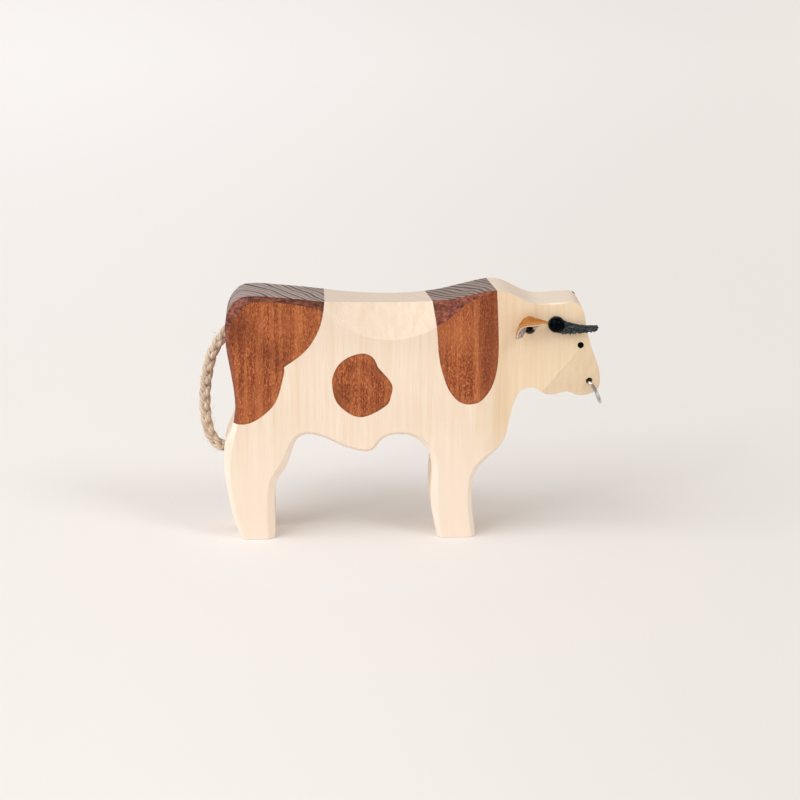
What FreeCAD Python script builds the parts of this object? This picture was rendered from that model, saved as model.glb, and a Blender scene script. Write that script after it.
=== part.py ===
import FreeCAD, Part
import math
import os

import Sketcher

# A hand-made wooden bull, cut from one thick board with the grain upright, and its loose pieces.
# +X points from tail to muzzle, +Y to the animal's left, +Z up; the soles stand on Z = 0.
# The sheet holds every driving size in millimetres and degrees.
SIZES = {
    "body_length": 139.9,
    "body_height": 94.2,
    "board_thickness": 28.0,
    "bevel_depth": 2.1,
    "muzzle_x": 69.2,
    "leg_gap": 7.0,
    "leg_gap_height": 38.0,
    "neck_crease_angle": 3.6,
    "neck_taper_length": 12.0,
    "neck_turn_length": 5.0,
    "head_thickness": 22.0,
    "saddle_radius": 77.0,
    "saddle_angle": 23.0,
    "snout_line_angle": 49.2,
    "snout_turn_angle": 19.0,
    "ear_hole_diameter": 4.3,
    "ear_fit": 0.15,
    "ear_leather": 0.9,
    "ear_reach": 6.0,
    "ear_width": 11.6,
    "ear_rise": 5.2,
    "horn_leather": 1.6,
    "horn_base_radius": 3.0,
    "horn_tip_width": 1.9,
    "horn_flat": 2.6,
    "horn_clearance": 0.1,
    "right_horn_reach": 15.1,
    "right_horn_flare": 7.0,
    "right_horn_angle": 0.0,
    "left_horn_reach": 11.1,
    "left_horn_flare": 7.0,
    "left_horn_angle": 34.0,
    "pin_head_radius": 2.9,
    "pin_head_height": 2.4,
    "pin_shank_diameter": 1.3,
    "pin_shank_length": 8.0,
    "pin_fit": 0.05,
    "eye_diameter": 2.3,
    "eye_depth": 0.5,
    "nose_hole_diameter": 2.5,
    "ring_wire": 1.3,
    "ring_seat_gap": 0.1,
    "ring_half_width": 8.8,
    "ring_bend": 0.9,
    "ring_side_length": 0.7,
    "ring_leg_inset": 4.2,
    "ring_angle": 28.0,
    "tail_hole_depth": 5.0,
    "tail_diameter": 4.0,
    "tail_fit": 0.1,
    "overrun": 5.0,
}

# Outline of the whole figure seen from its right side, as shares of the length (from the muzzle
# back) and of the height, with the width of the knife bevel there as a share of the height.
# It runs up the back of the hind legs, along the back and down the face, throat and front legs.
UPPER_SHARES = [
    (0.9560, 0.0000, 0.0160), (0.9653, 0.0340, 0.0160), (0.9757, 0.0800, 0.0165),
    (0.9845, 0.1350, 0.0170), (0.9921, 0.2000, 0.0187), (0.9979, 0.2600, 0.0225),
    (1.0001, 0.3150, 0.0265), (0.9985, 0.3640, 0.0300), (0.9921, 0.4030, 0.0285),
    (0.9822, 0.4350, 0.0215), (0.9737, 0.4680, 0.0175), (0.9684, 0.5080, 0.0120),
    (0.9680, 0.5550, 0.0090), (0.9722, 0.6200, 0.0100), (0.9800, 0.6900, 0.0135),
    (0.9876, 0.7550, 0.0180), (0.9916, 0.8150, 0.0150), (0.9913, 0.8600, 0.0180),
    (0.9866, 0.9020, 0.0290), (0.9752, 0.9370, 0.0360), (0.9628, 0.9590, 0.0360),
    (0.9469, 0.9735, 0.0300), (0.9241, 0.9790, 0.0220), (0.8627, 0.9740, 0.0160),
    (0.7899, 0.9640, 0.0200), (0.7104, 0.9508, 0.0280), (0.6204, 0.9443, 0.0200),
    (0.5468, 0.9422, 0.0200), (0.4739, 0.9462, 0.0200), (0.4067, 0.9575, 0.0200),
    (0.3567, 0.9735, 0.0180), (0.3145, 0.9880, 0.0160), (0.2816, 0.9930, 0.0140),
    (0.2552, 0.9858, 0.0120), (0.2301, 0.9688, 0.0120), (0.2015, 0.9480, 0.0120),
    (0.1766, 0.9368, 0.0120), (0.1381, 0.9385, 0.0120), (0.0944, 0.9420, 0.0120),
    (0.0706, 0.9385, 0.0120), (0.0559, 0.9190, 0.0120), (0.0482, 0.8920, 0.0120),
    (0.0426, 0.8418, 0.0120), (0.0298, 0.7700, 0.0120), (0.0159, 0.7133, 0.0120),
    (0.0062, 0.6730, 0.0120), (0.0010, 0.6360, 0.0120), (-0.0001, 0.6080, 0.0120),
    (0.0032, 0.5850, 0.0120), (0.0149, 0.5665, 0.0120), (0.0338, 0.5572, 0.0120),
    (0.0517, 0.5565, 0.0120), (0.0686, 0.5634, 0.0120), (0.0875, 0.5768, 0.0120),
    (0.1054, 0.5752, 0.0120), (0.1292, 0.5692, 0.0120), (0.1481, 0.5738, 0.0120),
    (0.1630, 0.5875, 0.0120), (0.1779, 0.6005, 0.0120), (0.1968, 0.6005, 0.0120),
    (0.2117, 0.5910, 0.0120), (0.2221, 0.5720, 0.0130), (0.2320, 0.5400, 0.0140),
    (0.2449, 0.4689, 0.0140), (0.2534, 0.4130, 0.0140), (0.2683, 0.3690, 0.0140),
    (0.2912, 0.3345, 0.0150), (0.3180, 0.2960, 0.0160), (0.3354, 0.2540, 0.0170),
    (0.3413, 0.1990, 0.0170), (0.3416, 0.1253, 0.0170), (0.3374, 0.0640, 0.0170),
    (0.3324, 0.0000, 0.0160),
]
# The same from the back edge of the front soles, over the belly, to the front of the hind soles.
UNDER_SHARES = [
    (0.4339, 0.0000, 0.0160), (0.4422, 0.0560, 0.0200), (0.4501, 0.1200, 0.0270),
    (0.4519, 0.1932, 0.0280), (0.4491, 0.2600, 0.0250), (0.4541, 0.3300, 0.0230),
    (0.4665, 0.3680, 0.0220), (0.4859, 0.3965, 0.0180), (0.5097, 0.4160, 0.0140),
    (0.5346, 0.4200, 0.0120), (0.5611, 0.4157, 0.0120), (0.5823, 0.3993, 0.0120),
    (0.5972, 0.3705, 0.0120), (0.6141, 0.3530, 0.0120), (0.6488, 0.3570, 0.0120),
    (0.6862, 0.3750, 0.0120), (0.7243, 0.4035, 0.0120), (0.7571, 0.4200, 0.0130),
    (0.7849, 0.4222, 0.0140), (0.8038, 0.4070, 0.0160), (0.8158, 0.3750, 0.0190),
    (0.8270, 0.3217, 0.0260), (0.8426, 0.2740, 0.0290), (0.8585, 0.2400, 0.0280),
    (0.8662, 0.1900, 0.0270), (0.8669, 0.1300, 0.0280), (0.8658, 0.0600, 0.0290),
    (0.8663, 0.0000, 0.0260),
]

# Places on the figure, as shares of its length (from the muzzle back) and of its height.
PLACE_SHARES = {
    "ear_hole": (0.1923, 0.8397),
    "horn": (0.1229, 0.8567),
    "eye": (0.0572, 0.7707),
    "nose_hole": (0.0301, 0.6167),
    "snout_line": (0.1552, 0.5902),
    "saddle_low": (0.5590, 0.8036),
    "neck_crease": (0.2981, 0.0000),
    "front_gap_end": (0.5376, 0.0000),
    "hind_gap_end": (0.7663, 0.0000),
}

# Middle line of the braided tail, chosen by hand: (x, z) in the plane Y = 0.
TAIL_ROUTE = [
    (-65.7, 80.9), (-73.4, 71.8), (-76.2, 64.1), (-77.9, 52.7),
    (-77.6, 43.3), (-75.7, 35.6), (-70.2, 31.4), (-64.2, 31.5),
]
# Share of the shorter run that each arc of the tail takes.
ARC_SHARE = 0.45

UP = FreeCAD.Vector(0, 0, 1)
ACROSS = FreeCAD.Vector(0, 1, 0)
ALONG = FreeCAD.Vector(1, 0, 0)
RIGHT_AND_LEFT = (("right", -1), ("left", 1))

doc = FreeCAD.newDocument("bull_figurine")
sheet = doc.addObject("Spreadsheet::Sheet", "sizes")
for row, (alias, value) in enumerate(SIZES.items(), start=1):
    sheet.set("A%d" % row, alias)
    sheet.set("B%d" % row, str(value))
    sheet.setAlias("B%d" % row, alias)
doc.recompute()


def size(alias):
    """A driving size, as the sheet holds it."""
    return float(sheet.get(alias))


def vec(x, y, z=0.0):
    return FreeCAD.Vector(x, y, z)


def place(name):
    """A named place in the middle plane of the board."""
    x_share, z_share = PLACE_SHARES[name]
    x = size("muzzle_x") - x_share * size("body_length")
    return vec(x, 0, z_share * size("body_height"))


def turned(axis, degrees):
    return FreeCAD.Rotation(axis, degrees)


def new_body(label):
    body = doc.addObject("PartDesign::Body", label)
    body.Label = label
    return body


def new_sketch(body, name, role, offset=None):
    """A sketch on one of the body's own origin planes, moved by an optional placement."""
    sketch = body.newObject("Sketcher::SketchObject", name)
    plane = next(f for f in body.Origin.OriginFeatures if getattr(f, "Role", "") == role)
    sketch.AttachmentSupport = [(plane, "")]
    sketch.MapMode = "FlatFace"
    if offset is not None:
        sketch.AttachmentOffset = offset
    return sketch


def away(distance):
    """An offset along a sketch's own normal."""
    return FreeCAD.Placement(vec(0, 0, distance), FreeCAD.Rotation())


def line(sketch, a, b):
    sketch.addGeometry(Part.LineSegment(vec(*a), vec(*b)), False)


def arc_through(sketch, a, b, c):
    """An arc from a to c by way of b."""
    sketch.addGeometry(Part.Arc(vec(*a), vec(*b), vec(*c)), False)


def polygon(sketch, points):
    for a, b in zip(points, points[1:] + points[:1]):
        line(sketch, a, b)


def rounded(before, corner, after, trim):
    """The start, middle and end of the arc that rounds a corner, its radius and its turn."""
    run_in, run_out = corner - before, after - corner
    turn = run_in.getAngle(run_out)
    radius = trim / math.tan(turn / 2)
    start = corner - run_in.normalize() * trim
    finish = corner + run_out.normalize() * trim
    inward = ((start + finish) * 0.5 - corner).normalize()
    middle = corner + inward * (radius / math.cos(turn / 2) - radius)
    return start, middle, finish, radius, turn


def fitted(diameter, fit=None):
    """A diameter, with a fit all round it if one is named, as a number and as an expression."""
    value, words = size(diameter), "sizes." + diameter
    if fit:
        value += 2 * size(fit)
        words += " + 2 * sizes." + fit
    return value, words


def full_circle(sketch, x, z, diameter, words):
    """A circle whose diameter follows an expression of the sheet."""
    sketch.addGeometry(Part.Circle(vec(x, z), UP, diameter / 2), False)
    sketch.addConstraint(Sketcher.Constraint("Diameter", 0, diameter))
    sketch.setExpression("Constraints[0]", words)


def cut(body, name, sketch, length=None):
    """A pocket of a given length, or one through everything both ways."""
    pocket = body.newObject("PartDesign::Pocket", name)
    pocket.Profile = sketch
    if length is None:
        pocket.Type = "ThroughAll"
        pocket.SideType = "Symmetric"
    else:
        pocket.Type = "Length"
        pocket.setExpression("Length", length)
    return pocket


# The wooden body: one ruled loft between the flat sides and the middle of the board makes the
# knife bevels, and the saddle, neck, snout, leg gaps and holes are then cut out of it.
def outline_points(shares):
    """The outline's outer points and the points where its bevel meets the flat side."""
    length, height = size("body_length"), size("body_height")
    outer = [vec(size("muzzle_x") - x * length, z * height) for x, z, _ in shares]
    inner = []
    for i, (_, _, bevel) in enumerate(shares):
        before, after = outer[max(i - 1, 0)], outer[min(i + 1, len(outer) - 1)]
        run = (after - before).normalize()
        inward = vec(run.y, -run.x)
        if i in (0, len(shares) - 1):
            inward = vec(inward.x, 0).normalize()
        inner.append(outer[i] + inward * (bevel * height))
    return outer, inner


def running_length(points):
    steps = [0.0]
    for a, b in zip(points, points[1:]):
        steps.append(steps[-1] + (b - a).Length)
    return steps


def draw_outline(sketch, upper, under, steps):
    """Two smooth curves, closed along the soles; their steps keep the rulings square."""
    for points, at in ((upper, steps[0]), (under, steps[1])):
        curve = Part.BSplineCurve()
        curve.interpolate(Points=points, Parameters=at)
        sketch.addGeometry(curve, False)
    sketch.addGeometry(Part.LineSegment(upper[-1], under[0]), False)
    sketch.addGeometry(Part.LineSegment(under[-1], upper[0]), False)


def make_wooden_body():
    body = new_body("wooden_body")
    half = size("board_thickness") / 2
    shoulder = half - size("bevel_depth")
    upper, upper_face = outline_points(UPPER_SHARES)
    under, under_face = outline_points(UNDER_SHARES)
    steps = (running_length(upper), running_length(under))
    sections = []
    for name, distance, top, bottom in (
        ("right_side", half, upper_face, under_face),
        ("right_bevel", shoulder, upper, under),
        ("left_bevel", -shoulder, upper, under),
        ("left_side", -half, upper_face, under_face),
    ):
        sketch = new_sketch(body, name, "XZ_Plane", away(distance))
        draw_outline(sketch, top, bottom, steps)
        sections.append(sketch)
    doc.recompute()
    blank = body.newObject("PartDesign::AdditiveLoft", "board_blank")
    blank.Profile = sections[0]
    blank.Sections = sections[1:]
    blank.Ruled = True
    doc.recompute()

    cut_leg_gaps(body)
    for name, side in RIGHT_AND_LEFT:
        cut_neck(body, name, side)
        cut_saddle(body, name, side)
        cut_snout(body, name, side)
        drill_side_hole(body, name + "_pin_hole", side, place("horn"), "pin_shank_length",
                        *fitted("pin_shank_diameter", "pin_fit"))
        drill_side_hole(body, name + "_eye", side, place("eye"), "eye_depth",
                        *fitted("eye_diameter"))
    for name in ("ear_hole", "nose_hole"):
        sketch = new_sketch(body, name + "_circle", "XZ_Plane")
        full_circle(sketch, place(name).x, place(name).z, *fitted(name + "_diameter"))
        cut(body, name, sketch)
    drill_tail_hole(body)
    doc.recompute()
    return body


def cut_leg_gaps(body):
    """The slots between the left and right legs, round at the top, sawn in from each end."""
    radius, top = size("leg_gap") / 2, size("leg_gap_height")
    low = -size("overrun")
    muzzle = size("muzzle_x") + size("overrun")
    tail = size("muzzle_x") - size("body_length") - size("overrun")
    for name, front, back in (
        ("front_leg_gap", muzzle, place("front_gap_end").x),
        ("hind_leg_gap", place("hind_gap_end").x, tail),
    ):
        sketch = new_sketch(body, name + "_shape", "YZ_Plane", away(front))
        line(sketch, (radius, top - radius), (radius, low))
        line(sketch, (radius, low), (-radius, low))
        line(sketch, (-radius, low), (-radius, top - radius))
        arc_through(sketch, (-radius, top - radius), (0, top), (radius, top - radius))
        pocket = body.newObject("PartDesign::Pocket", name)
        pocket.Profile = sketch
        pocket.Type = "Length"
        pocket.Length = front - back


def cut_neck(body, name, side):
    """One side of neck and head, turned in at a crease and rounded into the flat cheek."""
    offset = FreeCAD.Placement(vec(0, 0), turned(ACROSS, -size("neck_crease_angle")))
    sketch = new_sketch(body, name + "_neck_plan", "XY_Plane", offset)
    half, head = size("board_thickness") / 2, size("head_thickness") / 2
    crease, turn, over = place("neck_crease").x, size("neck_taper_length"), size("overrun")
    lead = over * turn / (half - head)
    far = size("body_length")
    lead_in, corner = vec(crease - lead, side * (half + over)), vec(crease + turn, side * head)
    cheek_end, outer_end = vec(far, side * head), vec(far, side * (half + over))
    start, middle, finish, _, _ = rounded(lead_in, corner, cheek_end, size("neck_turn_length"))
    line(sketch, lead_in, start)
    arc_through(sketch, start, middle, finish)
    line(sketch, finish, cheek_end)
    line(sketch, cheek_end, outer_end)
    line(sketch, outer_end, lead_in)
    cut(body, name + "_neck_side", sketch)


def cut_saddle(body, name, side):
    """The hollow planed into the upper side, part of a big cylinder that leans in at the top."""
    lean, radius = math.radians(size("saddle_angle")), size("saddle_radius")
    low = place("saddle_low") + ACROSS * (side * size("board_thickness") / 2)
    up_line = vec(0, -side * math.sin(lean), math.cos(lean))
    outward = vec(0, side * math.cos(lean), math.sin(lean))
    start = low + outward * radius - up_line * size("overrun")
    saddle = body.newObject("PartDesign::SubtractiveCylinder", name + "_saddle")
    saddle.setExpression("Radius", "sizes.saddle_radius")
    saddle.setExpression("Height", "sizes.body_height")
    saddle.Placement = FreeCAD.Placement(start, turned(ALONG, side * size("saddle_angle")))


def cut_snout(body, name, side):
    """The flat cut that narrows the snout, from a slanting line on the cheek down and forward."""
    rise, turn = math.radians(size("snout_line_angle")), math.radians(size("snout_turn_angle"))
    along_line = vec(math.cos(rise), 0, math.sin(rise))
    forward = vec(math.sin(rise), 0, -math.cos(rise))
    down_facet = forward * math.cos(turn) - ACROSS * (side * math.sin(turn))
    normal = along_line.cross(down_facet)
    start = place("snout_line") + ACROSS * (side * size("head_thickness") / 2)
    corner = start - along_line * size("overrun")
    if side < 0:
        corner = corner - normal * size("body_height")
    facet = body.newObject("PartDesign::SubtractiveBox", name + "_snout_facet")
    for edge in ("Length", "Width", "Height"):
        facet.setExpression(edge, "sizes.body_height")
    facing = FreeCAD.Rotation(along_line, down_facet, normal, "XYZ")
    facet.Placement = FreeCAD.Placement(corner, facing)


def drill_side_hole(body, name, side, spot, depth, diameter, words):
    """A blind hole into one side of the head."""
    face = -side * size("head_thickness") / 2
    sketch = new_sketch(body, name + "_circle", "XZ_Plane", away(face))
    full_circle(sketch, spot.x, spot.z, diameter, words)
    pocket = cut(body, name, sketch, "sizes.%s + sizes.pin_fit" % depth)
    pocket.Reversed = side > 0


def tail_start():
    """Where the tail begins in the rump, and the way that it points there."""
    (x, z), (next_x, next_z) = TAIL_ROUTE[:2]
    return FreeCAD.Placement(vec(x, 0, z), FreeCAD.Rotation(UP, vec(next_x - x, 0, next_z - z)))


def drill_tail_hole(body):
    """The slanting hole in the rump that the tail is glued into."""
    hole = body.newObject("PartDesign::SubtractiveCylinder", "tail_hole")
    hole.setExpression("Radius", "sizes.tail_diameter / 2 + sizes.tail_fit")
    hole.setExpression("Height", "sizes.tail_hole_depth + sizes.overrun")
    hole.Placement = tail_start()


# The ears: one strip of leather pulled through the cross hole, rolled inside it, with both ends
# opened into leaves that arch over and droop at the back.
def ear_section(sketch, left, crest, right):
    """A leather section between an outer arc and an inner one, a leather's thickness apart."""
    outer = Part.Arc(vec(*left), vec(*crest), vec(*right))
    circle = outer.toShape().Curve
    share = (circle.Radius - size("ear_leather")) / circle.Radius
    inner = [circle.Center + (vec(*p) - circle.Center) * share for p in (left, crest, right)]
    sketch.addGeometry(outer, False)
    sketch.addGeometry(Part.LineSegment(vec(*right), inner[2]), False)
    sketch.addGeometry(Part.Arc(inner[2], inner[1], inner[0]), False)
    sketch.addGeometry(Part.LineSegment(inner[0], vec(*left)), False)


# Where along its reach the ear leaf has a section, then its back end, crest and front end as
# shares of half the ear's width (x) and of its rise (z).
EAR_LEAF_SHARES = [
    (0.22, (-0.52, -0.08), (-0.10, 0.66), (0.58, 0.18)),
    (0.55, (-0.92, -0.30), (-0.16, 1.00), (1.02, 0.50)),
    (1.00, (-0.90, -0.48), (-0.22, 0.50), (1.05, 0.62)),
]
# How far round the hole the rolled strip reaches each way from its crest, in degrees.
EAR_ROLL = 110.0


def make_ear_strap():
    body = new_body("ear_strap")
    radius = size("ear_hole_diameter") / 2 - size("ear_fit")
    roll = math.radians(EAR_ROLL)
    end = (radius * math.sin(roll), radius * math.cos(roll))
    rolled = ((-end[0], end[1]), (0, radius), end)
    head = size("head_thickness") / 2

    middle = new_sketch(body, "rolled_strip", "XZ_Plane")
    ear_section(middle, *rolled)
    pad = body.newObject("PartDesign::Pad", "strip_in_the_hole")
    pad.Profile = middle
    pad.SideType = "Symmetric"
    pad.setExpression("Length", "sizes.head_thickness")

    half_width, rise = size("ear_width") / 2, size("ear_rise")
    for name, side in RIGHT_AND_LEFT:
        sections = [new_sketch(body, name + "_leaf_root", "XZ_Plane", away(-side * head))]
        ear_section(sections[0], *rolled)
        for number, (reach_share, *ends) in enumerate(EAR_LEAF_SHARES, start=1):
            distance = head + reach_share * size("ear_reach")
            label = "%s_leaf_%d" % (name, number)
            sketch = new_sketch(body, label, "XZ_Plane", away(-side * distance))
            ear_section(sketch, *[(x * half_width, z * rise) for x, z in ends])
            sections.append(sketch)
        doc.recompute()
        leaf = body.newObject("PartDesign::AdditiveLoft", name + "_ear")
        leaf.Profile = sections[0]
        leaf.Sections = sections[1:]
        doc.recompute()
    body.Placement = FreeCAD.Placement(place("ear_hole"), FreeCAD.Rotation())
    return body


# The horns: strips of black leather with a round base under a dome-headed pin. Each lies flat
# on the head round its pin and then bends outward. A horn is drawn lying along +X.
def horn_ribbon(sketch, side, reach, flare):
    """The strip seen from above: flat at the pin, then one arc outward."""
    leather, flat, base = size("horn_leather"), size("horn_flat"), size("horn_base_radius")
    run, back = reach - flat, -base - size("overrun")
    turn = 2 * math.atan2(flare - leather, run)
    bend = run / math.sin(turn)
    inside = bend - leather

    def on_arc(radius, angle):
        return (flat + radius * math.sin(angle), side * (bend - radius * math.cos(angle)))

    line(sketch, (back, 0), (flat, 0))
    arc_through(sketch, (flat, 0), on_arc(bend, turn / 2), on_arc(bend, turn))
    line(sketch, on_arc(bend, turn), on_arc(inside, turn))
    arc_through(sketch, on_arc(inside, turn), on_arc(inside, turn / 2), (flat, side * leather))
    line(sketch, (flat, side * leather), (back, side * leather))
    line(sketch, (back, side * leather), (back, 0))


# The horn seen from the side, as shares of its reach (x) and of its base radius (z): where the
# upper edge is deepest, the tip's top, and where the lower edge is lowest.
HORN_TOP_SHARES = (0.50, 0.03)
HORN_TIP_SHARES = (0.965, 0.20)
HORN_LOW_SHARES = (0.55, -0.97)
# How far round from straight ahead the round base reaches, in degrees.
HORN_NECK = 30.0


def horn_outline(sketch, reach):
    """The waste round the horn's outline: a round base, a hollow upper edge and a blunt tip."""
    base, tip, over = size("horn_base_radius"), size("horn_tip_width"), size("overrun")
    start = math.radians(HORN_NECK)
    neck = (base * math.cos(start), base * math.sin(start))

    def at(shares, drop=0.0):
        return (shares[0] * reach, shares[1] * base - drop)

    tip_top = at(HORN_TIP_SHARES)
    tip_end = (reach, tip_top[1] - tip / 2)
    tip_low = at(HORN_TIP_SHARES, tip)
    arc_through(sketch, (0, -base), (-base, 0), neck)
    arc_through(sketch, neck, at(HORN_TOP_SHARES), tip_top)
    line(sketch, tip_top, tip_end)
    line(sketch, tip_end, tip_low)
    arc_through(sketch, tip_low, at(HORN_LOW_SHARES), (0, -base))
    low, far = -base - over, reach + over
    polygon(sketch, [(low, low), (far, low), (far, -low), (low, -low)])


def make_horn(name, side):
    label = name + "_horn"
    body = new_body(label)
    reach, flare = size(label + "_reach"), size(label + "_flare")
    plan = new_sketch(body, label + "_plan", "XY_Plane")
    horn_ribbon(plan, side, reach, flare)
    ribbon = body.newObject("PartDesign::Pad", label + "_strip")
    ribbon.Profile = plan
    ribbon.SideType = "Symmetric"
    ribbon.setExpression("Length", "4 * sizes.horn_base_radius")
    doc.recompute()
    outline = new_sketch(body, label + "_outline", "XZ_Plane")
    horn_outline(outline, reach)
    cut(body, label + "_trimmed", outline)
    circle = new_sketch(body, label + "_hole_circle", "XZ_Plane")
    full_circle(circle, 0, 0, *fitted("pin_shank_diameter", "horn_clearance"))
    cut(body, label + "_hole", circle)
    seat = side * (size("head_thickness") / 2 + size("horn_clearance"))
    body.Placement = FreeCAD.Placement(
        place("horn") + ACROSS * seat, turned(ACROSS, -size(label + "_angle"))
    )
    return body


# The pins: black dome-headed nails that hold the horns, turned about their own axis.
def make_horn_pin(name, side):
    label = name + "_horn_pin"
    body = new_body(label)
    sketch = new_sketch(body, label + "_profile", "XY_Plane")
    shank, head, dome = size("pin_shank_diameter") / 2, size("pin_head_radius"), size("pin_head_height")
    under = size("horn_leather") + 2 * size("horn_clearance")
    tip = -size("pin_shank_length")
    ball = (head ** 2 + dome ** 2) / (2 * dome)
    middle = math.atan2(head, ball - dome) / 2
    half_way = (ball * math.sin(middle), under + dome - ball + ball * math.cos(middle))
    line(sketch, (0, tip), (shank, tip + 2 * shank))
    line(sketch, (shank, tip + 2 * shank), (shank, under))
    line(sketch, (shank, under), (head, under))
    arc_through(sketch, (head, under), half_way, (0, under + dome))
    line(sketch, (0, under + dome), (0, tip))
    pin = body.newObject("PartDesign::Revolution", label + "_turned")
    pin.Profile = sketch
    pin.ReferenceAxis = (sketch, ["V_Axis"])
    pin.Angle = 360
    facing = FreeCAD.Rotation() if side > 0 else turned(UP, 180)
    seat = side * size("head_thickness") / 2
    body.Placement = FreeCAD.Placement(place("horn") + ACROSS * seat, facing)
    return body


# The nose ring: one bent steel wire, open at the top, with both ends turned into the nose hole.
# It is drawn hanging straight down from the hole and then leaned forward.
def make_nose_ring():
    body = new_body("nose_ring")
    wide, bend, inset = size("ring_half_width"), size("ring_bend"), size("ring_leg_inset")
    knee = bend * (1 - math.sqrt(0.5))
    low = -bend - size("ring_side_length")
    spine = new_sketch(body, "ring_line", "YZ_Plane")
    for side in (1, -1):
        top, shoulder = (side * (wide - bend), 0), (side * wide, -bend)
        line(spine, (side * inset, 0), top)
        arc_through(spine, top, (side * (wide - knee), -knee), shoulder)
        line(spine, shoulder, (side * wide, low))
    arc_through(spine, (wide, low), (0, low - wide), (-wide, low))
    profile = new_sketch(body, "wire_section", "XZ_Plane", away(-inset))
    full_circle(profile, 0, 0, *fitted("ring_wire"))
    doc.recompute()
    ring = body.newObject("PartDesign::AdditivePipe", "bent_wire")
    ring.Profile = profile
    ring.Spine = spine
    drop = size("nose_hole_diameter") / 2 - size("ring_wire") / 2 - size("ring_seat_gap")
    seat = place("nose_hole") - UP * drop
    body.Placement = FreeCAD.Placement(seat, turned(ACROSS, -size("ring_angle")))
    return body


# The tail: a braided cord along its route, straight runs joined by tangent arcs.
def route_pieces(points):
    """The route's lines and arcs, with each arc's radius and the whole length."""
    pieces, radii, length = [], [], 0.0
    here = points[0]
    for before, corner, after in zip(points, points[1:], points[2:]):
        trim = ARC_SHARE * min((corner - before).Length, (after - corner).Length)
        start, middle, finish, radius, turn = rounded(before, corner, after, trim)
        pieces.append(Part.LineSegment(here, start))
        pieces.append(Part.Arc(start, middle, finish))
        length += (start - here).Length + radius * turn
        radii.append(radius)
        here = finish
    pieces.append(Part.LineSegment(here, points[-1]))
    length += (points[-1] - here).Length
    return pieces, radii, length


def make_tail():
    body = new_body("tail_rope")
    pieces, radii, length = route_pieces([vec(x, z) for x, z in TAIL_ROUTE])
    spine = new_sketch(body, "tail_line", "XZ_Plane")
    for piece in pieces:
        spine.addGeometry(piece, False)
    profile = new_sketch(body, "tail_section", "XY_Plane", tail_start())
    full_circle(profile, 0, 0, *fitted("tail_diameter"))
    doc.recompute()
    cord = body.newObject("PartDesign::AdditivePipe", "tail_cord")
    cord.Profile = profile
    cord.Spine = spine
    doc.recompute()
    section = math.pi * size("tail_diameter") ** 2 / 4
    print("tail radii mm:", [round(r, 1) for r in radii])
    print("tail length mm:", round(length, 2))
    print("tail volume over section x length:", round(body.Shape.Volume / (section * length), 4))
    return body


bodies = [make_wooden_body(), make_ear_strap(), make_nose_ring(), make_tail()]
for name, side in RIGHT_AND_LEFT:
    bodies += [make_horn(name, side), make_horn_pin(name, side)]
doc.recompute()

for item in doc.Objects:
    if any(word in ("Invalid", "Error") for word in item.State):
        raise RuntimeError("%s failed to build: %s" % (item.Name, item.State))
for body in bodies:
    if body.Shape.isNull() or not body.Shape.isValid() or len(body.Shape.Solids) != 1:
        raise RuntimeError("%s is not one valid solid" % body.Label)

os.makedirs("parts", exist_ok=True)
for body in bodies:
    body.Shape.exportStep(os.path.join("parts", body.Label + ".step"))
    box = body.Shape.optimalBoundingBox()
    print(
        "%s: %.1f x %.1f x %.1f mm, volume %.1f mm3"
        % (body.Label, box.XLength, box.YLength, box.ZLength, body.Shape.Volume)
    )
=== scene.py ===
import math

import bmesh
import bpy
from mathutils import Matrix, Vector, kdtree, noise


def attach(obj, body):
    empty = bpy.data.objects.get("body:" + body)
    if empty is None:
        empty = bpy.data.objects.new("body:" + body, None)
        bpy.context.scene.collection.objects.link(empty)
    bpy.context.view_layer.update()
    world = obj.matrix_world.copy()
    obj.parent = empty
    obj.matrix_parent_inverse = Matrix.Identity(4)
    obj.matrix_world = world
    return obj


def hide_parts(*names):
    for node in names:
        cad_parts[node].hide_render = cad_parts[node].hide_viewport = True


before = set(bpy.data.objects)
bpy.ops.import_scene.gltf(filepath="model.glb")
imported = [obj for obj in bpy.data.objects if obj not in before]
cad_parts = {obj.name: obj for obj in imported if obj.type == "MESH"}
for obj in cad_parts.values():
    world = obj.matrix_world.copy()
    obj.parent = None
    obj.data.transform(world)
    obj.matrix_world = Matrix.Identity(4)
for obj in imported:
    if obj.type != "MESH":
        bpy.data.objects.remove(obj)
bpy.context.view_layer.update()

# Camera: a long lens, a little above the figure and square to its right side, at the
# photograph's viewing angle.
scene = bpy.context.scene
camera_data = bpy.data.cameras.new("camera")
camera_data.sensor_width = 36.0
camera_data.lens = 119.385
camera = bpy.data.objects.new("camera", camera_data)
camera.location = (-0.04005, -0.9601, 0.2934)
camera.rotation_euler = (math.radians(75.76), 0.0, math.radians(-2.09))
scene.collection.objects.link(camera)
scene.camera = camera


# Tail: a soft hemp cord of three plaited strands, glued into a slanting hole in the rump. It
# hangs in one bow down to the hocks, and its end is tucked in between the hind legs.
def add(tree, kind, inputs=None, **settings):
    """A node with its settings; an input gets a plain value, or a link from a socket."""
    made = tree.nodes.new(kind)
    for name, value in settings.items():
        setattr(made, name, value)
    for name, value in (inputs or {}).items():
        if isinstance(value, bpy.types.NodeSocket):
            tree.links.new(value, made.inputs[name])
        else:
            made.inputs[name].default_value = value
    return made


def calc(tree, operation, *values):
    """A sum on one to three numbers or sockets."""
    return add(tree, "ShaderNodeMath", dict(enumerate(values)), operation=operation).outputs[0]


def vcalc(tree, operation, *values):
    """A sum on vectors; a vector is scaled by a second value that is a number."""
    made = add(tree, "ShaderNodeVectorMath", operation=operation)
    for i, value in enumerate(values):
        socket = made.inputs["Scale"] if operation == "SCALE" and i == 1 else made.inputs[i]
        if isinstance(value, bpy.types.NodeSocket):
            tree.links.new(value, socket)
        else:
            socket.default_value = value
    return made.outputs["Value" if operation in ("DOT_PRODUCT", "LENGTH") else 0]


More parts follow.
